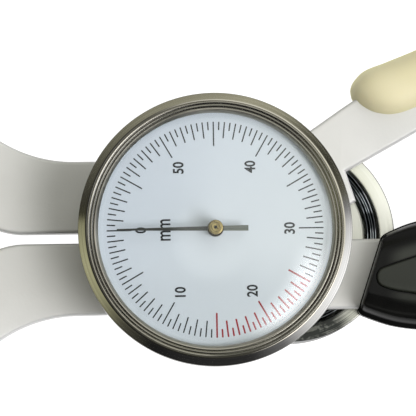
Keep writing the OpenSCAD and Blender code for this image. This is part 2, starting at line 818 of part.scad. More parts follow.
// Each station as [top, bottom, share of the height]
grip_stations = concat(
    [for (i = [0:len(grip_rows) - 1]) let (r = grip_rows[i], t = i / (len(grip_rows) - 1))
        [[r[0], r[1]], [r[2], r[3]], 0.93 + 0.07 * sin(180 * min(1, 1.6 * t + 0.1)) ]],
    [for (k = [1:cap_steps])
        let (r = grip_rows[len(grip_rows) - 1], a = 84 * k / cap_steps,
             c = [r[0] + r[2], r[1] + r[3]] / 2 + grip_cap_l * sin(a) * [0.985, -0.17],
             h = [r[0] - r[2], r[1] - r[3]] / 2 * cos(a))
        [c + h, c - h, 0.93 * cos(a)]]);

// A ring of a grip shell: over the crown from the top edge to the bottom edge
function shell_ring(s, height) = [for (i = [0:16])
    let (q = superellipse(180 * i / 16, 2.6),
         p = (s[0] + s[1]) / 2 + q[0] * (s[0] - s[1]) / 2)
    [p.x, p.y, q[1] * s[2] * height]];

module shell_form(height) {
    loft([for (s = grip_stations) shell_ring(s, height)]);
}

// Outline of the inset panel, anticlockwise: it narrows to a blunt tip at the dial's end
panel_path = smooth([
    [70, -18.5], [86, -19.9], [98, -20.9], [104.5, -19.5], [107, -16.3], [104.5, -12.8], [98, -11],
    [86, -8.6], [70, -5.7], [54, -3.2], [42, -2.7], [34, -3.9], [27.3, -5.95], [21.5, -7.8],
    [19.2, -8.75], [18.5, -10.4], [19.3, -12.2], [22.4, -13.35], [27.1, -14.15], [38, -16],
    [54, -17.3], [70, -18.5]], 2);
panel_outline = [for (i = [0:len(panel_path) - 2]) panel_path[i]];

// One grip shell, with its parting face at z = 0 and its crown upwards
module grip_shell(drum_side) {
    tang_gap = 0.1;
    difference() {
        shell_form(shell_h);
        translate([0, 0, -1]) linear_extrude(arm_t / 2 + 1 + tang_gap)
            polygon(inset(concat([[8, -outer_y]], tang_outline, [[8, -edge_y]]), -tang_gap));
        translate([0, 0, shell_h - inlay_depth]) linear_extrude(4) polygon(inset(panel_outline, -0.1));
        if (drum_side) {
            rod(drum_r + drum_gap, arm_t / 2 - 0.05, shell_h + 1);
            at_places(grip_screw_places) {
                rod(grip_screw_r + 0.15, -1, shell_h);
                rod(grip_head_r + 0.1, shell_h - inlay_depth - grip_head_h - 0.2, shell_h);
            }
        } else {
            at_places(grip_screw_places) rod(grip_screw_r, -1, shell_h - inlay_depth - 1.5);
        }
    }
}

module inlay(drum_side) {
    difference() {
        intersection() {
            shell_form(shell_h + 0.25);
            translate([0, 0, shell_h - inlay_depth]) linear_extrude(6) polygon(panel_outline);
        }
        if (drum_side) rod(drum_r + drum_gap, 0, shell_h + 1);
    }
}

module grip_front() {
    color(black) translate([0, 0, part_z]) grip_shell(false);
}

module grip_back() {
    color(black) translate([0, 0, part_z]) mirror([0, 0, 1]) grip_shell(true);
}

module inlay_front() {
    color([0.2, 0.21, 0.18]) translate([0, 0, part_z]) inlay(false);
}

module inlay_back() {
    color([0.2, 0.21, 0.18]) translate([0, 0, part_z]) mirror([0, 0, 1]) inlay(true);
}

module grip_screws() {
    head_z = part_z - shell_h + inlay_depth + 0.1;
    color(steel) at_places(grip_screw_places) {
        rod(grip_screw_r, head_z, part_z + shell_h - inlay_depth - 1.6);
        rod(grip_head_r, head_z, head_z + grip_head_h);
    }
}

lower_arm();
upper_arm();
spring_drum();
spring_hub();
power_spring();
pivot_shaft();
hub_bush();
arm_bush();
thrust_washer();
pivot_washer();
pivot_nut();
drum_screws();
hub_screws();
sector_gear();
sector_screws();
pinion_arbor();
arbor_bridge();
bridge_screws();
arbor_bushes();
hairspring();
hairspring_stud();
dial_case();
case_posts();
case_screws();
dial_face();
crystal_gasket();
crystal();
bezel();
bezel_clip();
pointer();
pointer_hub();
thumb_pad();
grip_front();
grip_back();
inlay_front();
inlay_back();
grip_screws();
upper_tip();
lower_tip();
upper_tip_pin();
lower_tip_pin();
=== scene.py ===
"""Skinfold caliper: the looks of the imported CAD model, in its own frame, in metres."""
from math import asin, cos, degrees, pi, radians, sin, sqrt

import bmesh
import bpy
import numpy as np
from mathutils import Matrix, Vector


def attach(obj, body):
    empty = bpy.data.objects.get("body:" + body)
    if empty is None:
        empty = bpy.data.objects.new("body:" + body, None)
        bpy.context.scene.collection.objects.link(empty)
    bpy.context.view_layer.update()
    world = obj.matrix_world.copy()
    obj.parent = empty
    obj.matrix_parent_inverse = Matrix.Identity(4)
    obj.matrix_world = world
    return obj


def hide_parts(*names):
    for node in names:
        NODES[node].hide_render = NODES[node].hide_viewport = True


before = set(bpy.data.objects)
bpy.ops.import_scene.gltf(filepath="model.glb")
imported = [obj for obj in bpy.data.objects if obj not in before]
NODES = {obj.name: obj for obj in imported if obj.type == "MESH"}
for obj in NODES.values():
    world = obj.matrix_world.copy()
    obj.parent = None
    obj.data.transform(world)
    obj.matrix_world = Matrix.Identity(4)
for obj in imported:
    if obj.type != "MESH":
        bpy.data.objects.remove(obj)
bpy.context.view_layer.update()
MM = 0.001
scene = bpy.context.scene

# Places and sizes in millimetres, as the CAD model has them
DIAL_X = -17.55
DIAL_Z = 33.3
ARM_Z0, ARM_Z1 = 12.8, 17.6
PART_Z = 15.2
EDGE_Y = 1.15
OUTER_Y = 17.4
LEVER_ANGLE = 31.2
SCALE_R = 23.75
RIDGE_R, RIDGE_PITCH = 28.05, 0.7
DRUM_R, GROOVE_R, DRUM_TOP = 23.9, 20.5, 12.6
SHELL_H = 9.6
FIXED, MOVING, HAND = "fixed_body", "moving_arm", "pointer_group"

# ---------------------------------------------------------------- camera

# The place and the three axes of the camera that took the photograph
CAMERA_PLACE = (-32.61, -49.99, 556.23)
CAMERA_RIGHT = (0.99954, -0.01831, 0.02403)
CAMERA_UP = (0.0157, 0.99441, 0.1044)
CAMERA_BACK = (-0.0258, -0.10397, 0.99425)
FOCAL_PIXELS, PHOTO_PIXELS, SENSOR = 2400, 416, 36


def set_camera():
    data = bpy.data.cameras.new("photo_camera")
    data.sensor_width = SENSOR
    data.lens = FOCAL_PIXELS / PHOTO_PIXELS * SENSOR
    data.clip_start, data.clip_end = 0.01, 50
    camera = bpy.data.objects.new("photo_camera", data)
    scene.collection.objects.link(camera)
    turn = Matrix((CAMERA_RIGHT, CAMERA_UP, CAMERA_BACK)).transposed().to_4x4()
    camera.matrix_world = Matrix.Translation(Vector(CAMERA_PLACE) * MM) @ turn
    scene.camera = camera


set_camera()

# ---------------------------------------------------------------- shader maths


class Value:
    """A node's output. Arithmetic on it adds Math nodes to the same material."""

    def __init__(self, finish, socket):
        self.finish, self.socket = finish, socket

    def _math(self, operation, *others):
        inputs = [o.socket if isinstance(o, Value) else o for o in (self, *others)]
        return self.finish.node("Math", {"operation": operation}, dict(enumerate(inputs)))[0]

    def __add__(self, other):
        return self._math("ADD", other)

    __radd__ = __add__

    def __mul__(self, other):
        return self._math("MULTIPLY", other)

    __rmul__ = __mul__

    def __sub__(self, other):
        return self._math("SUBTRACT", other)

    def __rsub__(self, other):
        return self._math("MULTIPLY", -1.0)._math("ADD", other)

    def __truediv__(self, other):
        return self._math("DIVIDE", other)

    def __pow__(self, other):
        return self._math("POWER", other)

    def sine(self):
        return self._math("SINE")

    def root(self):
        return self._math("SQRT")

    def size(self):
        return self._math("ABSOLUTE")

    def most(self, other):
        return self._math("MAXIMUM", other)

    def angle_of(self, other):
        """The angle whose tangent is this value over the other."""
        return self._math("ARCTAN2", other)

    def ramp(self, low, high, out_low=0.0, out_high=1.0):
        """A smooth step from out_low at low to out_high at high."""
        return self.finish.node("MapRange", {"interpolation_type": "SMOOTHSTEP"}, {
            "Value": self.socket, "From Min": low, "From Max": high,
            "To Min": out_low, "To Max": out_high})["Result"]


class Finish:
    """One material. Every node comes from node(), and surface() sets the Principled shader."""

    def __init__(self, name):
        self.material = bpy.data.materials.new(name)
        self.material.use_nodes = True
        self.tree = self.material.node_tree
        self.tree.nodes.clear()
        self.output = self.tree.nodes.new("ShaderNodeOutputMaterial")
        self._place = None

    def node(self, kind, settings=None, values=None):
        """A node of that type. Its settings are set first, then the values or links of its sockets.
        It returns {name and number: output}."""
        made = self.tree.nodes.new("ShaderNode" + kind)
        for key, value in (settings or {}).items():
            if key == "stops":
                stops = made.color_ramp.elements
                while len(stops) < len(value):
                    stops.new(0.5)
                for stop, (where, colour) in zip(stops, value):
                    stop.position, stop.color = where, colour
            else:
                setattr(made, key, value)
        for key, value in (values or {}).items():
            socket = made.inputs[key]
            if isinstance(value, Value):
                value = value.socket
            if isinstance(value, bpy.types.NodeSocket):
                self.tree.links.new(value, socket)
            elif value is not None:
                socket.default_value = value
        outputs = [Value(self, o) for o in made.outputs]
        found = dict(enumerate(outputs))
        found.update({o.socket.name: o for o in reversed(outputs)})
        found["node"] = made
        return found

    def place(self):
        """The place on the piece, as three values in millimetres, and as one vector in metres."""
        if self._place is None:
            vector = self.node("TexCoord")["Object"]
            parts = self.node("SeparateXYZ", values={0: vector})
            self._place = (parts[0] * 1000, parts[1] * 1000, parts[2] * 1000, vector)
        return self._place

    def radius(self, x0, y0):
        """Distance in millimetres from an upright axis through x0, y0."""
        x, y = self.place()[:2]
        return ((x - x0) * (x - x0) + (y - y0) * (y - y0)).root()

    def turn(self, x0, y0):
        """Angle round an upright axis through x0, y0."""
        x, y = self.place()[:2]
        return (y - y0).angle_of(x - x0)

    def toward(self, direction):
        """The cosine of the angle round the dial from a direction in degrees."""
        return (self.turn(DIAL_X, 0) + radians(90 - direction)).sine()

    def noise(self, scale, detail=3.0, rough=0.5, vector=None):
        """Soft noise from 0 to 1, scale cells to the metre."""
        vector = vector if vector is not None else self.place()[3]
        return self.node("TexNoise", {"noise_dimensions": "3D"}, {
            "Vector": vector, "Scale": scale, "Detail": detail, "Roughness": rough})[0]

    def line_noise(self, along, scale, detail=2.0):
        """Noise that varies along one value only."""
        return self.node("TexNoise", {"noise_dimensions": "1D"}, {
            "W": along, "Scale": scale, "Detail": detail, "Roughness": 0.6})[0]

    def streaks(self, x0, y0, fine, around):
        """Noise drawn out along circles round an upright axis, as a lathe tool leaves it."""
        angle = self.turn(x0, y0)
        vector = self.node("CombineXYZ", values={
            0: self.radius(x0, y0) * fine, 1: angle.sine() * around,
            2: (angle + pi / 2).sine() * around})[0]
        return self.noise(1.0, 2.0, 0.6, vector)

    def specks(self, scale, size, vector=None):
        """1 in small round dots, 0 elsewhere."""
        vector = vector if vector is not None else self.place()[3]
        far = self.node("TexVoronoi", {"feature": "F1"}, {"Vector": vector, "Scale": scale})["Distance"]
        return far.ramp(size, size * 0.6)

    def mix(self, share, low, high):
        """A colour from low to high by the share."""
        made = self.node("Mix", {"data_type": "RGBA"})
        node = made["node"]
        for index, value in ((0, share), (6, low), (7, high)):
            if isinstance(value, Value):
                self.tree.links.new(value.socket, node.inputs[index])
            else:
                node.inputs[index].default_value = value if index == 0 else (*value[:3], 1)
        return Value(self, node.outputs[2])

    def bump(self, height, depth):
        """A normal from heights in millimetres."""
        return self.node("Bump", values={"Height": height, "Distance": depth * MM, "Strength": 1.0})["Normal"]

    def surface(self, colour, roughness=0.5, metallic=0.0, normal=None, dull=None, **constants):
        """Joins the Principled shader. Constants go onto its own sockets. Where dull is 1 the surface is
        plain black and diffuse instead."""
        values = {"Base Color": colour if isinstance(colour, Value) else (*colour, 1),
                  "Roughness": roughness, "Metallic": metallic}
        if normal is not None:
            values["Normal"] = normal
        values.update({key.replace("_", " "): value for key, value in constants.items()})
        shader = self.node("BsdfPrincipled", values=values)[0]
        if dull is not None:
            matt = self.node("BsdfDiffuse", values={"Color": (0.006, 0.006, 0.006, 1)})[0]
            shader = self.node("MixShader", values={0: dull, 1: shader, 2: matt})[0]
        self.tree.links.new(shader.socket, self.output.inputs[0])
        return self.material


# ---------------------------------------------------------------- finishes


def paint_finish():
    """Satin grey-white paint: faint orange peel, few dust pits, a tone slightly uneven with wear, and painted
    shade that darkens the plate's sides and rounded edges.
    """
    f = Finish("arm_paint")
    cloud = f.noise(60, 3)
    peel = f.noise(1500, 2)
    flat = f.node("VectorMath", {"operation": "MULTIPLY"}, {0: f.place()[3], 1: (1, 1, 0)})[0]
    pits = f.specks(64, 0.02, flat)
    # painted shade: the sides and rounded edges, within 2.38 mm of the parting plane, are mixed towards dark
    # grey
    edge = (2.38 - (f.place()[2] - PART_Z).size()).ramp(0.0, 0.3)
    colour = f.mix(cloud.ramp(0.3, 0.75), (0.60, 0.60, 0.575), (0.645, 0.645, 0.62))
    colour = f.mix(edge * 0.6, colour, (0.36, 0.36, 0.36))
    colour = f.mix(pits * 0.8, colour, (0.10, 0.095, 0.085))
    normal = f.bump(peel - pits, 0.02)
    return f.surface(colour, cloud.ramp(0.2, 0.8, 0.36, 0.46), normal=normal,
                     Coat_Weight=0.15, Coat_Roughness=0.2)


def turned_finish(name, x0, y0, low, high, rough, fine=3.0, metallic=1.0, depth=0.012):
    """Metal turned on a lathe: fine circles round the axis in tone, gloss and height."""
    f = Finish(name)
    lines = f.streaks(x0, y0, fine, 0.8)
    fine_lines = f.streaks(x0, y0, fine * 3, 2.5)
    both = lines * 0.6 + fine_lines * 0.4
    colour = f.mix(both.ramp(0.3, 0.7), low, high)
    return f.surface(colour, both.ramp(0.25, 0.75, rough * 0.8, rough * 1.25), metallic,
                     f.bump(both, depth))


def bezel_finish():
    """Nickel plate on the turned bezel: fine circles, painted shade left dark between the ridges, which lie
    0.7 mm apart inside radius 28.05, and a painted dark line at the outer edge. Painted dark reflections lie
    on the land and the slope. Each mask is set by the direction round the dial."""
    f = Finish("bezel_nickel")
    lines = f.streaks(DIAL_X, 0, 4.0, 0.8)
    fine = f.streaks(DIAL_X, 0, 9.0, 2.0)
    inside = RIDGE_R - f.radius(DIAL_X, 0)
    colour = f.mix(lines.ramp(0.3, 0.7), (0.50, 0.475, 0.41), (0.62, 0.595, 0.52))
    # painted shade: dark between the ridges, lighter on their crests
    crest = (inside * (pi / RIDGE_PITCH)).sine().size().ramp(0.45, 0.95)
    low_ridge = 1 - (inside - 1.0).size().ramp(0.5, 0.2) * 0.55
    painted_dark = inside.ramp(0.0, 0.08) * (1 - crest * low_ridge * 0.3) * fine.ramp(0.3, 0.7, 0.6, 0.95)
    # painted dark reflections: each mask below darkens the land or the slope in one direction round the dial
    leftward = f.toward(30).ramp(0.35, -0.05)
    lower_right = f.toward(-40).ramp(0.8, 0.97)
    upper_left = f.toward(140).ramp(0.6, 0.9)
    bottom = f.toward(-72).ramp(0.85, 0.98)
    land = inside.ramp(-0.44, -0.38) * inside.ramp(0.04, -0.02)
    # painted shade: a dark line at the bezel's outer edge
    outer_edge = (inside + 1.95).ramp(0.14, 0.02) * 0.9
    painted_dark = (painted_dark * inside.ramp(1.5, 1.9, 1.0, 0.45)).most(outer_edge)
    painted_dark = painted_dark.most(land * leftward.most(lower_right * 0.8) * 0.8)
    painted_dark = painted_dark.most(upper_left * inside.ramp(0.4, 0.9) * 0.92)
    painted_dark = painted_dark.most(lower_right * (inside - 0.95).size().ramp(0.5, 0.3))
    painted_dark = painted_dark.most(bottom * (inside - 0.25).size().ramp(0.45, 0.25) * 0.95)
    colour = f.mix(painted_dark, colour, (0.11, 0.108, 0.09))
    rough = lines.ramp(0.25, 0.75, 0.09, 0.15)
    rough = rough + inside.ramp(0.0, 0.1) * 0.1 + inside.ramp(1.6, 2.0) * 0.2
    return f.surface(colour, rough, 1.0, f.bump(lines * 0.5 + fine * 0.5, 0.006))


def drum_finish():
    """Pale satin plate on the turned drum and hub: fine circles, painted shade as a dark line at the outer
    edge, a painted highlight on the right side by the grip, a darker tone inside radius 17 mm, and a painted
    dark reflection with lighter streaks along the drum's lower side, below the arm."""
    f = Finish("drum_turned")
    lines = f.streaks(0, 0, 2.0, 0.8)
    streaks = f.streaks(0, 0, 3.5, 1.2)
    angle = f.turn(0, 0) * (180 / pi)
    colour = f.mix(lines.ramp(0.3, 0.7), (0.84, 0.85, 0.74), (0.91, 0.92, 0.83))
    # painted reflection: dark, with lighter streaks, along the drum's lower side
    lower = (angle + streaks * 16 - 8).ramp(-46, -64) * angle.ramp(-150, -125)
    patches = (streaks * f.noise(900, 3)).ramp(0.24, 0.38)
    dark = f.mix(patches, (0.012, 0.015, 0.015), (0.15, 0.155, 0.14))
    # painted highlight: the right side, next to the grip, is lighter
    colour = f.mix(angle.ramp(40, 12) * angle.ramp(-45, -25) * 0.9, colour, (1.0, 1.0, 0.92))
    colour = f.mix(f.radius(0, 0).ramp(17.5, 16.5) * 0.5, colour, (0.5, 0.51, 0.45))
    colour = f.mix(lower * 0.97, colour, dark)
    # painted shade: a dark line at the outer edge
    edge = f.radius(0, 0).ramp(DRUM_R - 0.28, DRUM_R - 0.16) * 0.75
    colour = f.mix(edge, colour, (0.05, 0.05, 0.045))
    return f.surface(colour, lines.ramp(0.25, 0.75, 0.3, 0.42), 0.75, f.bump(lines, 0.008))


def steel_finish():
    """Plain turned steel of the hidden screws and pins, with fine grain."""
    f = Finish("plain_steel")
    grain = f.noise(2500, 3)
    cloud = f.noise(150, 2)
    colour = f.mix(cloud.ramp(0.3, 0.7), (0.42, 0.42, 0.41), (0.56, 0.55, 0.53))
    return f.surface(colour, grain.ramp(0.3, 0.7, 0.24, 0.38), 1.0, f.bump(grain, 0.006))


def tip_finish():
    """Ground steel of the jaw tips: fine lines across the jaws."""
    f = Finish("ground_steel")
    x, y, z = f.place()[:3]
    lines = f.noise(1.0, 2, 0.6, f.node("CombineXYZ", values={0: x * 6, 1: y * 0.4, 2: z * 6})[0])
    colour = f.mix(lines.ramp(0.3, 0.7), (0.50, 0.50, 0.49), (0.66, 0.66, 0.64))
    return f.surface(colour, lines.ramp(0.3, 0.7, 0.26, 0.4), 1.0, f.bump(lines, 0.01))


def spring_finish():
    """Blued spring strip: dark steel with lines along the strip's edge, and pale patches at random places as
    painted glints.
    """
    f = Finish("spring_strip")
    z = f.place()[2]
    lines = f.line_noise(z, 4.0)
    cloud = f.noise(300, 2)
    # painted glints: pale bluish patches where the noise runs high
    colour = f.mix(cloud.ramp(0.42, 0.62), (0.09, 0.10, 0.11), (0.56, 0.60, 0.64))
    return f.surface(colour, lines.ramp(0.3, 0.7, 0.22, 0.4), 1.0, f.bump(lines, 0.01))


def dial_finish():
    """Cool white lacquer on the dial, with a faint cloud and a few fine dust specks, painted light that makes
    it brighter towards the right, and painted shade that makes it darker towards the bottom. A painted glow
    lights its edge on the lower right."""
    f = Finish("dial_lacquer")
    cloud = f.noise(45, 3)
    dust = f.specks(160, 0.02)
    # painted light: brighter towards the right
    side = (f.place()[0] - f.place()[1] * 0.5 + cloud * 16).ramp(-36, 18)
    colour = f.mix(side, (0.635, 0.668, 0.722), (0.675, 0.698, 0.712))
    # painted shade: darker towards the bottom
    colour = f.mix(f.place()[1].ramp(-4, -17) * 0.5, colour, (0.55, 0.58, 0.61))
    colour = f.mix(dust * 0.35, colour, (0.35, 0.37, 0.40))
    # painted glow: the edge on the lower right emits light
    rim = f.radius(DIAL_X, 0).ramp(24.3, 25.2) * f.toward(-25).ramp(0.5, 0.95)
    painted_rim_glow = f.mix(rim, (0, 0, 0), (0.29, 0.30, 0.31))
    gloss = f.noise(900, 2).ramp(0.3, 0.7, 0.45, 0.55)
    return f.surface(colour, gloss, normal=f.bump(f.noise(1800, 2), 0.004),
                     Emission_Color=painted_rim_glow, Emission_Strength=1.0)


def ink_finish(name, colour, light):
    """Printed ink with a slightly uneven cover."""
    f = Finish(name)
    return f.surface(f.mix(f.noise(2500, 3).ramp(0.35, 0.75), colour, light), 0.5)


def hand_finish():
    """Black satin on the hand, with fine lines along it. The tail's side is paler: a painted sheen."""
    f = Finish("hand_black")
    x, y = f.place()[:2]
    lines = f.line_noise(y, 5.0)
    colour = f.mix(lines.ramp(0.35, 0.65), (0.012, 0.013, 0.011), (0.045, 0.046, 0.038))
    # painted sheen: the tail's side, right of the hub, is paler
    painted_sheen = (x - DIAL_X).ramp(1.0, 2.2) * lines.ramp(0.3, 0.7, 0.6, 1.0)
    return f.surface(f.mix(painted_sheen, colour, (0.13, 0.14, 0.113)), lines.ramp(0.3, 0.7, 0.35, 0.5),
                     normal=f.bump(lines, 0.01))


def hub_finish():
    """Turned brass of the hand's hub: fine circles, and painted shade that darkens its rim and side, a fine
    groove on its top, and its dimple.
    """
    f = Finish("hub_brass")
    lines = f.streaks(DIAL_X, 0, 9.0, 0.8)
    far = f.radius(DIAL_X, 0)
    colour = f.mix(lines.ramp(0.4, 0.6), (0.23, 0.16, 0.045), (0.60, 0.47, 0.20))
    # painted shade: darker in the fine groove on the top, and on the rim and side
    ring = (far - 0.94).size().ramp(0.12, 0.02) * 0.3
    colour = f.mix((far.ramp(1.54, 1.66) * 0.85).most(ring), colour, (0.07, 0.05, 0.02))
    # painted shade: the dimple is near black
    colour = f.mix(far.ramp(0.42, 0.3), colour, (0.01, 0.008, 0.005))
    return f.surface(colour, lines.ramp(0.3, 0.7, 0.26, 0.4), 1.0, f.bump(lines, 0.02),
                     Specular_Tint=(0.12, 0.08, 0.04, 1))


def glass_finish():
    """Clear crystal: a thin clear shell. Its share of reflection is 0.034 + 0.966 (1 - cos)^5, the
    same from both sides."""
    f = Finish("crystal_glass")
    smear = f.noise(70, 3)
    clear = f.node("BsdfTransparent", values={"Color": (0.965, 0.98, 0.985, 1)})[0]
    gloss = f.node("BsdfGlossy", values={
        "Roughness": smear.ramp(0.3, 0.8, 0.03, 0.07), "Color": (1, 1, 1, 1)})[0]
    share = f.node("LayerWeight", values={"Blend": 0.5})["Facing"] ** 5 * 0.966 + 0.034
    both = f.node("MixShader", values={0: share, 1: clear, 2: gloss})[0]
    f.tree.links.new(both.socket, f.output.inputs[0])
    return f.material


def vinyl_finish():
    """Ivory moulded vinyl: warm, fine soft grain, and a little deeper and yellower in tone towards its edges,
    where it turns away from view: painted light standing for light through the edges.
    """
    f = Finish("ivory_vinyl")
    cloud = f.noise(40, 2)
    grain = f.noise(2200, 2)
    facing = f.node("LayerWeight", values={"Blend": 0.35})["Facing"]
    colour = f.mix(cloud.ramp(0.3, 0.7), (0.665, 0.61, 0.375), (0.70, 0.645, 0.42))
    # painted light: yellower where the surface turns away from view, as light through the vinyl's edges
    colour = f.mix(facing.ramp(0.2, 0.95), colour, (0.62, 0.58, 0.27))
    return f.surface(colour, grain.ramp(0.3, 0.7, 0.5, 0.6), normal=f.bump(grain, 0.01),
                     Subsurface_Weight=0.1, Subsurface_Radius=(0.004, 0.003, 0.0015))


def plastic_finish(name, colour, light, rough, grain_depth, shine=0.5, seam=0.0):
    """Moulded plastic: fine grain and a slow change of gloss. A grip shell also has a matt band by its
    parting seam, and painted sheen as greyer bands along both edges of its inset panel."""
    f = Finish(name)
    grain = f.noise(2600, 2)
    cloud = f.noise(90, 3)
    tone = f.mix(cloud.ramp(0.3, 0.75), colour, light)
    gloss = cloud.ramp(0.3, 0.7, rough * 0.85, rough * 1.15)
    dull = None
    if seam:
        x, y, z = f.place()[:3]
        height = (z - PART_Z).size()
        dull = height.ramp(seam * 1.3, seam) * height.ramp(0.25, 0.5)
        above, below = y + 14.7 - x * 0.31, -9.5 - x * 0.17 - y
        # painted sheen: greyer bands along both edges of the inset panel
        painted_sheen = above.ramp(0.2, 1.0) * above.ramp(4.2, 1.6)
        painted_sheen = painted_sheen.most(below.ramp(0.2, 0.8) * below.ramp(3.0, 1.2) * 0.6)
        tone = f.mix(painted_sheen * x.ramp(20, 25) * height.ramp(7, 8), tone, (0.036, 0.038, 0.032))
    return f.surface(tone, gloss, 0.0, f.bump(grain, grain_depth), dull, Specular_IOR_Level=shine)


PAINT = paint_finish()
DRUM = drum_finish()
NICKEL = bezel_finish()
CASE = turned_finish("case_turned", DIAL_X, 0, (0.50, 0.49, 0.45), (0.62, 0.60, 0.55), 0.3)
HUB_BRASS = hub_finish()
BRASS = turned_finish("turned_brass", DIAL_X, 0, (0.30, 0.225, 0.09), (0.44, 0.34, 0.15), 0.32, 9.0)
BRONZE = turned_finish("bearing_bronze", 0, 0, (0.50, 0.33, 0.16), (0.62, 0.42, 0.22), 0.35, 6.0)
STEEL = steel_finish()
TIPS = tip_finish()
SPRING = spring_finish()
LACQUER = dial_finish()
INK = ink_finish("dark_ink", (0.002, 0.0025, 0.003), (0.008, 0.009, 0.011))
RED_INK = ink_finish("red_ink", (0.29, 0.003, 0.006), (0.38, 0.010, 0.015))
HAND_BLACK = hand_finish()
GLASS = glass_finish()
RUBBER = plastic_finish("gasket_white", (0.66, 0.66, 0.62), (0.74, 0.74, 0.70), 0.5, 0.01)
VINYL = vinyl_finish()
GRIP = plastic_finish("grip_black", (0.003, 0.003, 0.003), (0.005, 0.005, 0.0045), 0.22, 0.004, 0.14, 5.6)
PANEL = plastic_finish("panel_grey", (0.016, 0.018, 0.013), (0.021, 0.0235, 0.017), 0.42, 0.012, 0.4)

# ---------------------------------------------------------------- surfaces


def add_mesh(name, points, faces, finish, slot, body, stands_for=(), sharp=40):
    """A piece from points in millimetres. Doubled points are merged and its faces point outwards."""
    mesh = bpy.data.meshes.new(name)
    mesh.from_pydata((np.asarray(points, float) * MM).tolist(), [], faces)
    shape = bmesh.new()
    shape.from_mesh(mesh)
    bmesh.ops.remove_doubles(shape, verts=shape.verts, dist=2e-6)
    bmesh.ops.dissolve_degenerate(shape, edges=shape.edges, dist=1e-7)
    bmesh.ops.recalc_face_normals(shape, faces=shape.faces)
    shape.to_mesh(mesh)
    shape.free()
    mesh.shade_smooth()
    mesh.set_sharp_from_angle(angle=radians(sharp))
    piece = bpy.data.objects.new(name, mesh)
    scene.collection.objects.link(piece)
    mesh.materials.append(finish)
    if body:
        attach(piece, body)
    if stands_for:
        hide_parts(*stands_for)
    return piece


def grid_faces(rows, columns, closed_rows, closed_columns):
    """Quads over a grid of points: one for every step both ways, wrapped where a way is closed."""
    i = np.arange(rows if closed_rows else rows - 1)[:, None]
    j = np.arange(columns if closed_columns else columns - 1)[None, :]
    i1, j1 = (i + 1) % rows, (j + 1) % columns
    quads = np.stack(np.broadcast_arrays(
        i * columns + j, i1 * columns + j, i1 * columns + j1, i * columns + j1), -1)
    return quads.reshape(-1, 4).tolist()


def lathe(profile, x0=0.0, y0=0.0, steps=256):
    """A profile of (radius, height) turned round an upright axis: the point at angle a is
    (x0 + r cos a, y0 + r sin a, z). The profile is closed."""
    r, z = np.asarray(profile, float).T
    a = np.linspace(0, 2 * pi, steps, endpoint=False)[:, None]
    points = np.stack([x0 + r * np.cos(a), y0 + r * np.sin(a), z + 0 * a], -1)
    return points.reshape(-1, 3), grid_faces(steps, len(r), True, True)


def rounded_profile(corners, radius, steps=4):
    """A closed profile with each corner rounded: a corner p between a and b becomes the quadratic
    curve (1-t)^2 p_a + 2t(1-t) p + t^2 p_b, where p_a and p_b lie up to the radius along its sides."""
    p = np.asarray(corners, float)
    before, after = np.roll(p, 1, 0), np.roll(p, -1, 0)
    cut = np.minimum(radius, 0.45 * np.minimum(
        np.linalg.norm(before - p, axis=1), np.linalg.norm(after - p, axis=1)))[:, None]
    p_a = p + (before - p) / np.linalg.norm(before - p, axis=1)[:, None] * cut
    p_b = p + (after - p) / np.linalg.norm(after - p, axis=1)[:, None] * cut
    t = np.linspace(0, 1, steps + 1)[None, :, None]
    curve = (1 - t) ** 2 * p_a[:, None] + 2 * t * (1 - t) * p[:, None] + t ** 2 * p_b[:, None]
    return curve.reshape(-1, 2)


def arc(centre, radius, start, end, steps):
    """Points on a circle from one angle to another, in degrees."""
    a = np.radians(np.linspace(start, end, steps + 1))[:, None]
    return np.asarray(centre) + radius * np.hstack([np.cos(a), np.sin(a)])


def turned_by(p, angle):
    """Points turned round the pivot by an angle in degrees."""
    p, c, s = np.asarray(p, float), cos(radians(angle)), sin(radians(angle))
    return np.stack([p[..., 0] * c - p[..., 1] * s, p[..., 0] * s + p[..., 1] * c], -1)


def smooth(points, steps):
    """A Catmull-Rom curve through the points: on each span
    (2b + (c-a)t + (2a-5b+4c-d)t^2 + (3b-a-3c+d)t^3) / 2."""
    p = np.asarray(points, float)
    a, b = np.vstack([p[:1], p[:-2]]), p[:-1]
    c, d = p[1:], np.vstack([p[2:], p[-1:]])
    t = (np.arange(steps) / steps)[None, :, None]
    a, b, c, d = (q[:, None, :] for q in (a, b, c, d))
    curve = (2 * b + (c - a) * t + (2 * a - 5 * b + 4 * c - d) * t ** 2
             + (3 * b - a - 3 * c + d) * t ** 3) / 2
    return np.vstack([curve.reshape(-1, p.shape[1]), p[-1:]])


def inset(outline, depth):
    """A closed outline drawn anticlockwise, moved inwards: each point goes along the bisector of its
    two sides' normals, by depth over the cosine of half the turn."""
    p = np.asarray(outline, float)
    ahead = np.roll(p, -1, 0) - p
    normal = np.stack([-ahead[:, 1], ahead[:, 0]], 1) / np.linalg.norm(ahead, axis=1)[:, None]
    both = normal + np.roll(normal, 1, 0)
    both /= np.linalg.norm(both, axis=1)[:, None]
    return p + both * depth / np.maximum(0.5, np.sum(both * normal, 1))[:, None]


def rounded_plate(outline, z0, z1, radius, steps=5):
    """A plate with rounded edges: rings at height z and inset s with (radius - s, radius - dz) on
    a quarter circle, from one flat face over the edge to the other."""
    q = np.radians(np.linspace(0, 90, steps + 1))
    ins = radius * (1 - np.sin(q))
    rise = radius * (1 - np.cos(q))
    rings = [(s, z0 + d) for s, d in zip(ins, rise)] + [(s, z1 - d) for s, d in zip(ins[::-1], rise[::-1])]
    points = np.vstack([np.hstack([inset(outline, s), np.full((len(outline), 1), z)]) for s, z in rings])
    n = len(outline)
    faces = grid_faces(len(rings), n, False, True)
    faces += [list(range(n)), list(range(len(points) - 1, len(points) - 1 - n, -1))]
    return points, faces


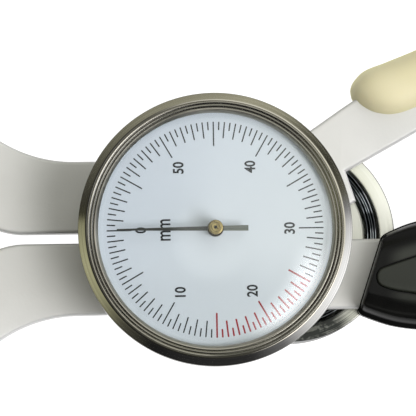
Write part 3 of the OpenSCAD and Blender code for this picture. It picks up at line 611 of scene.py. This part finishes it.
def cut_away(piece, cutters, operation="DIFFERENCE"):
    """Cuts closed shapes out of a piece, and keeps the result as its mesh."""
    for points, faces in cutters:
        tool = add_mesh("cutter", points, faces, piece.data.materials[0], None, None)
        change = piece.modifiers.new("cut", "BOOLEAN")
        change.operation, change.solver, change.object = operation, "EXACT", tool
        bpy.context.view_layer.update()
        done = bpy.data.meshes.new_from_object(piece.evaluated_get(bpy.context.evaluated_depsgraph_get()))
        piece.modifiers.clear()
        piece.data = done
        bpy.data.objects.remove(tool)
    piece.data.shade_smooth()
    piece.data.set_sharp_from_angle(angle=radians(35))
    return piece


def disc(radius, z0, z1, x0=0.0, y0=0.0, steps=96):
    """A plain closed cylinder."""
    return lathe([(0, z0), (radius, z0), (radius, z1), (0, z1)], x0, y0, steps)


# ---------------------------------------------------------------- arms

ARM_EDGE = 0.9
PIN, PIN_HOLE_R = (-115.9, 5.8), 1.23
TIP_SEAT_R, TONGUE_R, TONGUE_HALF = 4.2, 3.2, 1.25
LAP_HOLE_R, LAP_R = 12.8, 12.5
STOP_ANGLE = 30.6


def claw():
    """The claw's outside and inside, each two arcs that meet on a common tangent."""
    bend_x, bend_r, bend_angle, claw_r = -48.5, 31, 40, 32
    throat_x, throat_r, throat_angle, claw_in_r = -60, 18, 50, 22.5
    s, c = sin(radians(bend_angle)), cos(radians(bend_angle))
    bend_c = np.array([bend_x, OUTER_Y + bend_r])
    claw_c = bend_c - (bend_r + claw_r) * np.array([s, c])
    s, c = sin(radians(throat_angle)), cos(radians(throat_angle))
    throat_c = np.array([throat_x, EDGE_Y + throat_r])
    claw_in_c = throat_c - (throat_r + claw_in_r) * np.array([s, c])
    end_y = PIN[1] + 0.4
    out_end = 180 - degrees(asin((end_y + 1.8 - claw_c[1]) / claw_r))
    in_end = 180 - degrees(asin((end_y + 1.6 - claw_in_c[1]) / claw_in_r))
    outside = np.vstack([arc(bend_c, bend_r, 270, 270 - bend_angle, 18),
                         arc(claw_c, claw_r, 90 - bend_angle + 3, out_end, 44),
                         [[claw_c[0] - claw_r + 2.6, end_y]]])
    inside = np.vstack([[[claw_in_c[0] - claw_in_r + 0.6, end_y]],
                        arc(claw_in_c, claw_in_r, in_end, 90 - throat_angle, 36),
                        arc(throat_c, throat_r, 270 - throat_angle + 3, 270, 16)])
    return outside, inside


def stop_point(along):
    """A point on the turning arm's stop face, which lies along the other arm's edge when open."""
    return turned_by([along, -EDGE_Y], STOP_ANGLE)


CLAW_OUT, CLAW_IN = claw()
LEVER = smooth([
    [18.3, 5.6], [24.6, 5.3], [36, 4.8], [50, 4.4], [64, 4.6], [73, 5.4],
    [77.6, 8], [78.8, 11.4], [77.4, 14.6], [72, 16.4],
    [58, 17], [44, 17.9], [30, 18.35], [18, 17.8]], 8)
TANG = np.vstack([
    smooth([[13, -16.8], [24, -16.9], [40, -17.4], [70, -18.6], [98, -20.6]], 4),
    arc([98, -14.5], 6.1, -75, 75, 12),
    smooth([[98, -8.4], [70, -4.4], [40, -1.6], [24, -EDGE_Y]], 4)])


def upper_outline():
    """The turning arm, anticlockwise: claw, stop face, lever, shoulder, claw."""
    a = radians(STOP_ANGLE)
    stop_in = stop_point(EDGE_Y * (1 + cos(a)) / sin(a))
    corner = stop_point(sqrt(16.7 ** 2 - EDGE_Y ** 2))
    lever = turned_by(LEVER, LEVER_ANGLE)
    shoulder = smooth([[2.6, 22.2], [-3, 19], [-9, OUTER_Y + 0.3], [-15, OUTER_Y]], 5)
    return np.vstack([CLAW_IN, stop_in, corner, (corner + 2 * lever[0]) / 3, lever, shoulder, CLAW_OUT])


def lower_outline():
    """The fixed arm, anticlockwise: the claw turned over, and the tang inside the grip."""
    flip = np.array([1, -1])
    return np.vstack([(CLAW_OUT * flip)[::-1], TANG, (CLAW_IN * flip)[::-1]])


def add_arm(name, outline, body, side, lap_at, keep):
    """An arm: its rounded plate, half lapped at the pivot, with a tongue for its jaw tip."""
    piece = add_mesh(name + "_plate", *rounded_plate(outline, ARM_Z0, ARM_Z1, ARM_EDGE),
                     PAINT, "arm_paint", body, [name])
    pin = (PIN[0], side * PIN[1])
    low, high = PART_Z - TONGUE_HALF, PART_Z + TONGUE_HALF
    seats = [disc(TIP_SEAT_R, ARM_Z0 - 1, low, *pin), disc(TIP_SEAT_R, high, ARM_Z1 + 1, *pin)]
    cut_away(piece, [disc(LAP_HOLE_R, *lap_at)] + seats)
    cut_away(piece, [disc(LAP_R, *keep), disc(TONGUE_R, low, high, *pin)], "UNION")
    shaft_hole_r = 4.2 if side > 0 else 3.0
    return cut_away(piece, [disc(shaft_hole_r, 0, 30), disc(PIN_HOLE_R, 0, 30, *pin)])


add_arm("upper_arm", upper_outline(), MOVING, 1, (5, 15.35), (15.35, ARM_Z1))
add_arm("lower_arm", lower_outline(), FIXED, -1, (15.05, 30), (ARM_Z0, 15.05))

# ---------------------------------------------------------------- dial


def bezel_profile():
    """The bezel's section: a skirt, a plain bevel, a narrow land, an inner slope with turned ridges,
    z = slope(r) + 0.16 |sin(pi (28.05 - r) / 0.7)|, and a lip over the crystal."""
    r = np.linspace(RIDGE_R, 25.95, 43)
    ridge = 0.16 * np.abs(np.sin(pi * (RIDGE_R - r) / RIDGE_PITCH))
    inner = np.stack([r, DIAL_Z + 2.62 - 0.314 * (RIDGE_R - r) + ridge], 1)
    outer = np.array([
        [25.6, DIAL_Z + 1.15], [28.4, DIAL_Z + 1.1], [28.4, DIAL_Z - 3.35], [29.5, DIAL_Z - 3.4],
        [29.9, DIAL_Z - 3.25], [30.0, DIAL_Z - 2.9], [30.0, DIAL_Z + 1.34], [29.97, DIAL_Z + 1.41],
        [28.44, DIAL_Z + 2.66], [28.38, DIAL_Z + 2.7], [28.12, DIAL_Z + 2.75], [28.08, DIAL_Z + 2.72]])
    lip = np.array([[25.9, DIAL_Z + 1.9], [25.82, DIAL_Z + 1.72], [25.62, DIAL_Z + 1.5]])
    return np.vstack([outer, inner, lip])


add_mesh("bezel_ring", *lathe(bezel_profile(), DIAL_X, 0, 360), NICKEL, "bezel_nickel", FIXED,
         ["bezel"], 24)


def crystal_profile():
    """The crystal's section: a flange, a short wall, and a dome of radius (w^2 + h^2) / 2h."""
    wide, rise, thick = 25.45, 5.0, 0.9
    base, wall = DIAL_Z + 0.6, DIAL_Z + 2.1
    dome_r = (wide ** 2 + rise ** 2) / (2 * rise)
    middle = wall + rise - dome_r
    a = np.linspace(asin((wide - 0.25) / dome_r), 0, 40)
    over = np.stack([dome_r * np.sin(a), middle + dome_r * np.cos(a)], 1)
    b = np.linspace(0, asin((wide - thick) / (dome_r - thick)), 40)
    under = np.stack([(dome_r - thick) * np.sin(b), middle + (dome_r - thick) * np.cos(b)], 1)
    return np.vstack([[[wide - thick, base], [27.7, base], [27.7, base + 0.5], [wide, base + 0.55],
                       [wide, wall - 0.2], [wide - 0.07, wall - 0.02]], over, under])


add_mesh("crystal_dome", *lathe(crystal_profile(), DIAL_X, 0, 256), GLASS, "crystal", FIXED, ["crystal"], 50)


def scale_marks(values, width):
    """Flat bars on the dial, one for every half millimetre of opening. A bar at value v lies at
    the angle 180 + 6v degrees, from the scale's outer radius inwards."""
    v = np.asarray(values, float)
    length = np.where(v % 5 == 0, 5.4, np.where(v % 1 == 0, 3.6, 1.85))
    a = np.radians(180 + 6 * v)[:, None]
    outer = np.full_like(v, SCALE_R)
    far = np.stack([outer, outer, SCALE_R - length, SCALE_R - length], 1)
    side = np.array([[-1, 1, 1, -1]]) * width / 2
    x = DIAL_X + far * np.cos(a) - side * np.sin(a)
    y = far * np.sin(a) + side * np.cos(a)
    points = np.stack([x, y, np.full_like(x, DIAL_Z + 0.02)], -1).reshape(-1, 3)
    return points, np.arange(len(points)).reshape(-1, 4).tolist()


HALVES = np.arange(0, 60, 0.5)
IN_RED = (HALVES >= 15) & (HALVES <= 25)
add_mesh("scale_marks_dark", *scale_marks(HALVES[~IN_RED], 0.28), INK, "pointer_black", FIXED)
add_mesh("scale_marks_red", *scale_marks(HALVES[IN_RED], 0.36), RED_INK, "pointer_black", FIXED)


def add_print(name, words, radius, angle, height, width_share, turn, weight):
    """Thin lettering on the dial, made a mesh, centred at a radius and an angle from the dial's middle.
    The weight is how far its outline is moved outwards, for a height of 1."""
    curve = bpy.data.curves.new(name, "FONT")
    curve.body, curve.size, curve.offset = words, 1.0, weight
    curve.align_x, curve.align_y = "CENTER", "CENTER"
    text = bpy.data.objects.new(name, curve)
    scene.collection.objects.link(text)
    bpy.context.view_layer.update()
    mesh = bpy.data.meshes.new_from_object(text.evaluated_get(bpy.context.evaluated_depsgraph_get()))
    bpy.data.objects.remove(text)
    co = np.zeros(len(mesh.vertices) * 3)
    mesh.vertices.foreach_get("co", co)
    flat = co.reshape(-1, 3)[:, :2]
    low, high = flat.min(0), flat.max(0)
    flat = (flat - (low + high) / 2) * height / (high[1] - low[1]) * np.array([width_share, 1.0])
    place = np.array([DIAL_X, 0]) + radius * np.array([cos(radians(angle)), sin(radians(angle))])
    flat = turned_by(flat, turn) + place
    points = np.hstack([flat, np.full((len(flat), 1), DIAL_Z + 0.02)])
    faces = [list(p.vertices) for p in mesh.polygons]
    return add_mesh(name, points, faces, INK, "pointer_black", FIXED)


for value in range(0, 60, 10):
    number_r = 16.3 if value % 30 == 0 else 15.75
    add_print(f"number_{value}", str(value), number_r, 180 + 6 * value, 2.4, 0.84, 90, 0.024)
add_print("unit_mm", "mm", 10.9, 180, 2.25, 0.7, 90, 0.014)


def hub_profile():
    """The hand's brass hub: a wide skirt at the hand, a knob that narrows upwards, and a dimple."""
    low, hand, top = DIAL_Z + 0.9, DIAL_Z + 1.9, DIAL_Z + 5.0
    wide, narrow = 1.8, 1.6
    return [(0.0, low), (1.2, low), (1.2, hand - 0.4), (wide, hand - 0.35), (wide, hand - 0.02),
            (1.0, hand), (1.0, hand + 0.3), (wide, hand + 0.32), (narrow, top - 0.18),
            (narrow - 0.05, top - 0.05), (narrow - 0.14, top), (0.98, top), (0.94, top - 0.05),
            (0.9, top), (0.36, top), (0.32, top - 0.1), (0.32, top - 0.5), (0.0, top - 0.5)]


add_mesh("hand_hub", *lathe(hub_profile(), DIAL_X, 0, 96), HUB_BRASS, "brass", HAND, ["pointer_hub"], 30)

# ---------------------------------------------------------------- spring drum


SCREWS_R, SCREWS_AT = 22.2, (-24, -43, -137, -156)


def on_circle(radius, angles):
    """Points on a circle round the pivot, at angles in degrees."""
    return [(radius * cos(radians(a)), radius * sin(radians(a))) for a in angles]


def add_drum():
    """The drum: a turned cup with a rounded rim and a deep floor for the spring, four bosses under the
    lower arm, and recesses in its back for the shaft's head and the screws."""
    floor = 2.2
    section = rounded_profile([(3.0, 0), (DRUM_R, 0), (DRUM_R, DRUM_TOP), (GROOVE_R, DRUM_TOP),
                               (GROOVE_R, floor), (3.0, floor)], 0.35, 3)
    cup = add_mesh("drum_cup", *lathe(section, 0, 0, 256), DRUM, "drum_metal", FIXED, ["spring_drum"], 35)
    places = on_circle(SCREWS_R, SCREWS_AT)
    cut_away(cup, [disc(1.6, 11.6, ARM_Z0, *p, 32) for p in places], "UNION")
    cut_away(cup, [disc(5.6, -1, 1.45)] + [disc(1.55, -1, 1.6, *p, 32) for p in places])


add_drum()


def spring_surface():
    """The power spring: a strip 0.2 mm thick along r = 17.65 + 0.62 a / 360, with a slow wave of 0.09 mm,
    a short tab at each end, and its edge rounded. Its inner tab stops clear of the hub, which turns."""
    a = np.linspace(0, 360 * 129 / 36, 700)
    r = 17.65 + 0.62 * a / 360 + 0.09 * np.sin(np.radians(a * 2.3))
    r, a = np.concatenate([[17.05], r, [r[-1] + 1.4]]), np.concatenate([[0], a, [a[-1]]])
    q = np.radians(a + 215)
    ring = np.array([[-0.1, 3.2], [0.1, 3.2], [0.1, 11.7], [0.06, 11.78], [-0.06, 11.78], [-0.1, 11.7]])
    far = r[:, None] + ring[None, :, 0]
    points = np.stack([far * np.cos(q)[:, None], far * np.sin(q)[:, None], ring[None, :, 1] + 0 * far], -1)
    n = len(ring)
    faces = grid_faces(len(r), n, False, True)
    return points.reshape(-1, 3), faces + [list(range(n)), [len(r) * n - 1 - k for k in range(n)]]


add_mesh("wound_strip", *spring_surface(), SPRING, "spring_steel", FIXED, ["power_spring"], 30)

# ---------------------------------------------------------------- thumb pad


def pad_surface():
    """The pad: superellipse rings |x|^2.4 + |y|^2.4 = 1 carried along the lever, each ring between
    its lower and its upper edge and as thick as its share of the pad."""
    rows = smooth([
        [28.7, 17.6, 19.2, 0.12], [29.6, 15.4, 21, 0.5], [31.4, 12.9, 22.2, 0.8], [34.6, 10.6, 22.8, 0.97],
        [40, 9.3, 21.8, 1], [50, 8.9, 20.3, 1], [62, 8.9, 20.2, 1], [72, 9.4, 21.2, 0.96],
        [78, 10.8, 21, 0.84], [81, 13, 19.4, 0.55], [82, 15.4, 17.2, 0.14]], 8)
    a = np.linspace(0, 2 * pi, 64, endpoint=False)
    across = np.sign(np.cos(a)) * np.abs(np.cos(a)) ** (2 / 2.4)
    high = np.sign(np.sin(a)) * np.abs(np.sin(a)) ** (2 / 2.4)
    u, low, top, share = (rows[:, k][:, None] for k in range(4))
    v = (low + top) / 2 + across * (top - low) / 2
    flat = turned_by(np.stack([u + 0 * v, v], -1), LEVER_ANGLE)
    z = PART_Z + high * share * 7.0
    points = np.concatenate([flat, z[..., None]], -1)
    faces = grid_faces(len(rows), 64, False, True)
    ends = [points[0].mean(0), points[-1].mean(0)]
    n = points.shape[0] * points.shape[1]
    points = np.vstack([points.reshape(-1, 3), ends])
    faces += [[n, j, (j + 1) % 64] for j in range(64)]
    faces += [[n + 1, n - 64 + (j + 1) % 64, n - 64 + j] for j in range(64)]
    return points, faces


add_mesh("thumb_rest", *pad_surface(), VINYL, "ivory", MOVING, ["thumb_pad"], 80)

# ---------------------------------------------------------------- grip

SIDE, BAND, BAND_DROP = 0.8, 0.5, 0.11
GRIP_ROWS = smooth([
    [20.4, -0.4, 14.5, -17.9], [27.4, 2.4, 23.2, -21], [38, 4.3, 35.2, -22.3], [54, 3.2, 52, -23.2],
    [72, 0.2, 70, -24.6], [88, -2.8, 86, -26], [104, -5.4, 102, -26.6]], 20)
PANEL_EDGE = smooth([
    [70, -18.5], [86, -19.9], [98, -20.9], [104.5, -19.5], [107, -16.3], [104.5, -12.8], [98, -11],
    [86, -8.6], [70, -5.7], [54, -3.2], [42, -2.7], [34, -3.9], [27.3, -5.95], [21.5, -7.8],
    [19.2, -8.75], [18.5, -10.4], [19.3, -12.2], [22.4, -13.35], [27.1, -14.15], [38, -16],
    [54, -17.3], [70, -18.5]], 10)[:-1]


def grip_stations():
    """Stations along the grip as (middle, half of the width, share of the height). The dial's end is
    rounded over 0.6 mm, share = 0.7 + 0.3 (1 - (1 - t)^2.5)^(1/2.5), and the far end is an elliptic cap."""
    rows = np.vstack([GRIP_ROWS[0] + (GRIP_ROWS[1] - GRIP_ROWS[0]) * t for t in (0, 0.08, 0.2, 0.4, 0.7)])
    rows = np.vstack([rows, GRIP_ROWS[1:]])
    top, bottom = rows[:, :2], rows[:, 2:]
    middle, half = (top + bottom) / 2, (top - bottom) / 2
    along = np.concatenate([[0], np.cumsum(np.linalg.norm(np.diff(middle, axis=0), axis=1))])
    share = 0.7 + 0.3 * (1 - (1 - np.clip(along / 0.6, 0, 1)) ** 2.5) ** (1 / 2.5)
    corner = 1.3 * (1 - np.sqrt(1 - (1 - np.clip(along / 1.3, 0, 1)) ** 2))
    half *= (1 - corner / np.linalg.norm(half, axis=1))[:, None]
    a = np.radians(np.linspace(0, 88, 24))[1:, None]
    cap_middle = middle[-1] + 12 * np.sin(a) * np.array([0.985, -0.17])
    return (np.vstack([middle, cap_middle]), np.vstack([half, half[-1] * np.cos(a)]),
            np.concatenate([share, share[-1] * np.cos(a[:, 0])]))


def shell_surface(up):
    """A grip shell's crown: for every station a row across it, c from -1 to 1. The height is flat to
    |c| = 0.5, drops by 0.11 t^2 (3 - 2t) to |c| = 0.8, and ends in the ellipse
    0.89 sqrt(1 - ((|c| - 0.8) / 0.2)^2)."""
    middle, half, share = grip_stations()
    side = SIDE + (1 - SIDE) * np.cos(np.linspace(0, pi / 2, 14))
    inner = np.linspace(SIDE, 0, 30)[1:]
    c = np.concatenate([-side, -inner, inner[::-1][1:], side[::-1]])
    far = np.abs(c)
    t = np.clip((far - BAND) / (SIDE - BAND), 0, 1)
    ellipse = (1 - BAND_DROP) * np.sqrt(np.clip(1 - ((far - SIDE) / (1 - SIDE)) ** 2, 0, 1))
    crown = np.where(far < SIDE, 1 - BAND_DROP * t * t * (3 - 2 * t), ellipse)
    flat = middle[:, None, :] + c[None, :, None] * half[:, None, :]
    z = PART_Z + up * share[:, None] * crown[None, :] * SHELL_H
    points = np.concatenate([flat, z[..., None]], -1)
    rows, n = len(middle), len(c)
    faces = grid_faces(rows, n, False, False)
    rim = [k * n for k in range(rows)] + [k * n + n - 1 for k in range(rows - 1, -1, -1)]
    return points.reshape(-1, 3), faces + [list(range(n)), [rows * n - n + k for k in range(n)], rim]


def prism(outline, z0, z1):
    """An outline carried straight up, closed at both ends."""
    n = len(outline)
    points = np.vstack([np.hstack([outline, np.full((n, 1), z)]) for z in (z0, z1)])
    return points, grid_faces(2, n, False, True) + [list(range(n)), list(range(2 * n - 1, n - 1, -1))]


def add_grip():
    """Both shells, each cut out for the tang and for its inset panel, and the two panels."""
    tang = inset(np.vstack([[8, -OUTER_Y], TANG, [8, -EDGE_Y]]), -0.1)
    for side_name, up in (("front", 1), ("back", -1)):
        shell = add_mesh(f"grip_{side_name}_shell", *shell_surface(up), GRIP, "grip_black", FIXED,
                         [f"grip_{side_name}"], 50)
        tang_z, face_z = PART_Z + up * 2.5, PART_Z + up * SHELL_H
        cuts = [prism(tang, *sorted((PART_Z - up, tang_z))),
                prism(inset(PANEL_EDGE, -0.24), *sorted((face_z - up * 1.25, face_z + up * 2)))]
        panel = add_mesh(f"inset_panel_{side_name}",
                         *rounded_plate(PANEL_EDGE, *sorted((face_z - up * 1.15, face_z + up * 0.12)), 0.5),
                         PANEL, "inlay_grey", FIXED, [f"inlay_{side_name}"], 40)
        if up < 0:
            cuts.append(disc(24.3, -1, 12.85))
            cut_away(panel, [disc(24.3, -1, 12.85)])
        cut_away(shell, cuts)


add_grip()

# ---------------------------------------------------------------- finishes on the CAD nodes

ON_NODES = {
    PAINT: ["upper_arm", "lower_arm"],
    DRUM: ["spring_drum", "spring_hub"],
    SPRING: ["power_spring", "hairspring", "bezel_clip"],
    STEEL: ["pivot_shaft", "pivot_washer", "pivot_nut", "drum_screws", "hub_screws", "sector_screws",
            "pinion_arbor", "bridge_screws", "case_screws", "grip_screws"],
    BRONZE: ["hub_bush", "arm_bush", "thrust_washer", "arbor_bushes"],
    BRASS: ["sector_gear", "arbor_bridge", "hairspring_stud", "case_posts", "pointer_hub",
            "upper_tip_pin", "lower_tip_pin"],
    CASE: ["dial_case"],
    NICKEL: ["bezel"],
    LACQUER: ["dial_face"],
    RUBBER: ["crystal_gasket"],
    GLASS: ["crystal"],
    HAND_BLACK: ["pointer"],
    VINYL: ["thumb_pad"],
    GRIP: ["grip_front", "grip_back"],
    PANEL: ["inlay_front", "inlay_back"],
    TIPS: ["upper_tip", "lower_tip"],
}
for finish, names in ON_NODES.items():
    for name in names:
        NODES[name].data.materials.clear()
        NODES[name].data.materials.append(finish)

# ---------------------------------------------------------------- floor and light


def add_floor():
    """A plain pale floor, just under the drum's back."""
    f = Finish("pale_floor")
    tone = f.noise(3, 2)
    material = f.surface(f.mix(tone, (0.28, 0.28, 0.28), (0.30, 0.30, 0.30)), 0.8,
                         Emission_Color=(1, 1, 1, 1), Emission_Strength=0.94)
    size = 6000.0
    corners = [(x * size, y * size, -0.1) for x, y in ((-1, -1), (1, -1), (1, 1), (-1, 1))]
    floor = add_mesh("floor", corners, [[0, 1, 2, 3]], material, None, None)


def add_light(name, place, size, power):
    """A soft round light that looks at the dial."""
    data = bpy.data.lights.new(name, "AREA")
    data.shape, data.size, data.energy = "DISK", size, power
    light = bpy.data.objects.new(name, data)
    scene.collection.objects.link(light)
    light.location = place
    aim = Vector((DIAL_X * MM, 0, 0.02)) - Vector(place)
    light.visible_glossy = False
    light.rotation_mode = "QUATERNION"
    light.rotation_quaternion = aim.to_track_quat("-Z", "Y")


def by_side(sky, angle, rows):
    """A colour by the angle round the object, from rows of (degrees, brightness, tint)."""
    stops = [(a / 360 + 0.5, tuple(v * t for t in tint) + (1,)) for a, v, tint in rows]
    return sky.node("ValToRGB", {"stops": stops}, {0: angle})[0]


def set_sky():
    """Soft surroundings, seen only in reflections: a low band for the bezel's bevel, a high one for its
    ridges and the crystal, a patch straight above for flat metal, and a bright patch at the lower right.
    The camera itself sees plain white."""
    world = bpy.data.worlds.new("studio")
    scene.world = world
    world.use_nodes = True
    tree = world.node_tree
    sky = Finish.__new__(Finish)
    sky.tree, sky._place = tree, None
    tree.nodes.clear()
    out = tree.nodes.new("ShaderNodeOutputWorld")
    x, y, z = (sky.node("SeparateXYZ", values={0: sky.node("TexCoord")["Generated"]})[k] for k in range(3))
    angle = y.angle_of(x) / (2 * pi) + 0.5
    plain, warm, straw = (1, 1.04, 1.17), (1, 1, 0.82), (1, 1.01, 0.68)
    low = by_side(sky, angle, [
        (-180, 0.50, straw), (-170, 0.58, straw), (-154, 0.45, straw), (-138, 0.10, warm),
        (-121, 0.015, plain),
        (-105, 0.03, plain), (-88, 0.033, plain), (-72, 0.04, plain), (-56, 0.215, plain), (-40, 1.15, plain),
        (-24, 1.6, plain), (-9, 1.52, plain), (5.5, 1.02, plain), (13, 0.35, plain), (20, 0.157, warm),
        (34, 0.064, warm), (48, 0.185, warm), (61, 0.48, warm), (75, 0.58, warm), (88, 0.46, warm),
        (102, 0.43, warm), (116, 0.36, warm), (130, 0.24, warm), (144, 0.14, warm), (159, 0.062, warm),
        (168, 0.05, straw), (171, 0.38, straw), (180, 0.50, straw)])
    cool = (1, 1, 0.95)
    high = by_side(sky, angle, [
        (-180, 0.12, cool), (-110, 0.08, cool), (-60, 0.2, cool), (-30, 0.6, cool), (0, 1.1, cool),
        (80, 1.0, cool), (105, 0.55, cool), (130, 0.2, cool), (180, 0.12, cool)])
    high = sky.mix(z.ramp(0.95, 0.985), high, (1.08, 1.09, 1.03))
    glow = by_side(sky, angle, [(-180, 0, cool), (-70, 0, cool), (-48, 1, cool), (-20, 1, cool), (0, 0, cool),
                                (180, 0, cool)])
    glow = sky.mix(z.ramp(0.855, 0.745) * glow, high, (7.5, 7.3, 7.4))
    side = sky.mix(z.ramp(0.5, 0.64), low, glow)
    seen = sky.node("LightPath")["Is Camera Ray"]
    colour = sky.mix(seen, side, (0.96, 0.96, 0.96))
    back = sky.node("Background", values={"Color": colour, "Strength": 1.0})[0]
    tree.links.new(back.socket, out.inputs[0])


add_floor()
add_light("key", (0.285, -0.141, 0.525), 0.36, 1.42)
add_light("fill", (0.14, 0.6, 0.55), 0.6, 0.9)
set_sky()
scene.view_settings.view_transform = "Standard"
